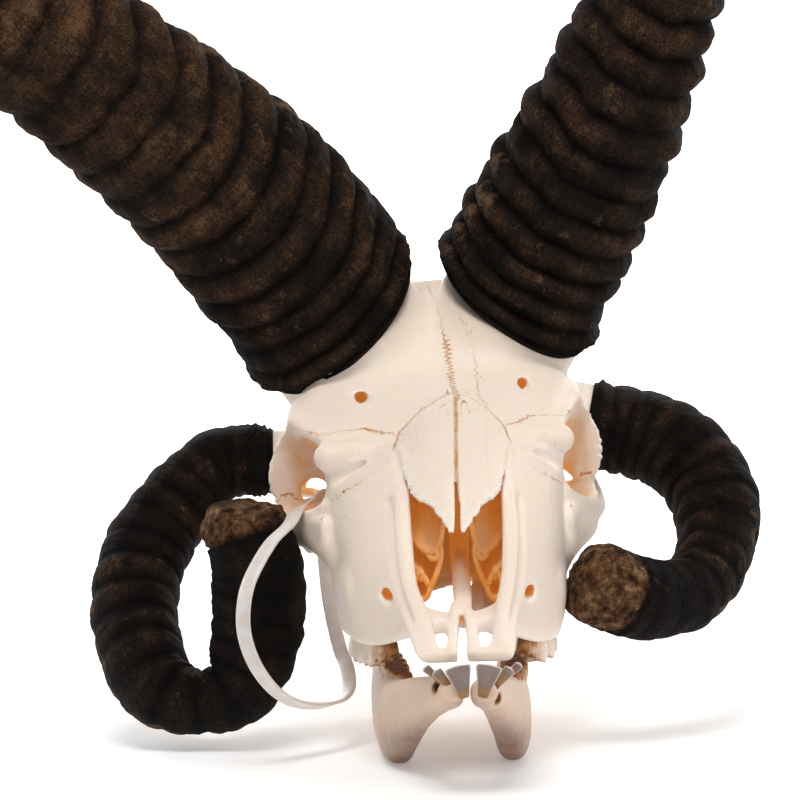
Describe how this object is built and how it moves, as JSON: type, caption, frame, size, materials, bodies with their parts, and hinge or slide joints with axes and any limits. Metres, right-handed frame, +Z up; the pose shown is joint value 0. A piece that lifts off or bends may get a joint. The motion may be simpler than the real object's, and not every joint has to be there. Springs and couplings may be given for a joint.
{
  "type": "four-horned ram skull",
  "caption": "Cleaned ram skull with two long ridged upper horns, two curled lower horns, an open nose, a split lower jaw and a nylon tie looped round one cheek.",
  "frame": {"origin": "centre of the bounding box's underside, on the ground that the lower jaw stands on", "axes": "+Z up, -Y the way the snout points, +X towards the skull's left side"},
  "size_m": [0.4336, 0.2633, 0.4336],
  "materials": {
    "bone": "dry cleaned bone, ivory to peach",
    "keratin": "ridged fibrous horn, brown-black with tan wear",
    "enamel": "worn tooth, grey to brown",
    "nylon": "milky translucent nylon"
  },
  "bodies": {
    "root": {"cranium": "bone", "mandible_left": "bone", "mandible_right": "bone", "horn_upper_left": "keratin", "horn_upper_right": "keratin", "horn_lower_left": "keratin", "horn_lower_right": "keratin", "tooth_upper_left_1": "enamel", "tooth_upper_left_2": "enamel", "tooth_upper_left_3": "enamel", "tooth_upper_left_4": "enamel", "tooth_upper_left_5": "enamel", "tooth_upper_left_6": "enamel", "tooth_upper_right_1": "enamel", "tooth_upper_right_2": "enamel", "tooth_upper_right_3": "enamel", "tooth_upper_right_4": "enamel", "tooth_upper_right_5": "enamel", "tooth_upper_right_6": "enamel", "tooth_lower_left_1": "enamel", "tooth_lower_left_2": "enamel", "tooth_lower_left_3": "enamel", "tooth_lower_left_4": "enamel", "tooth_lower_left_5": "enamel", "tooth_lower_left_6": "enamel", "tooth_lower_right_1": "enamel", "tooth_lower_right_2": "enamel", "tooth_lower_right_3": "enamel", "tooth_lower_right_4": "enamel", "tooth_lower_right_5": "enamel", "tooth_lower_right_6": "enamel", "incisor_left_1": "enamel", "incisor_left_2": "enamel", "incisor_left_3": "enamel", "incisor_right_1": "enamel", "incisor_right_2": "enamel", "incisor_right_3": "enamel", "nylon_tie": "nylon"}
  },
  "joints": []
}
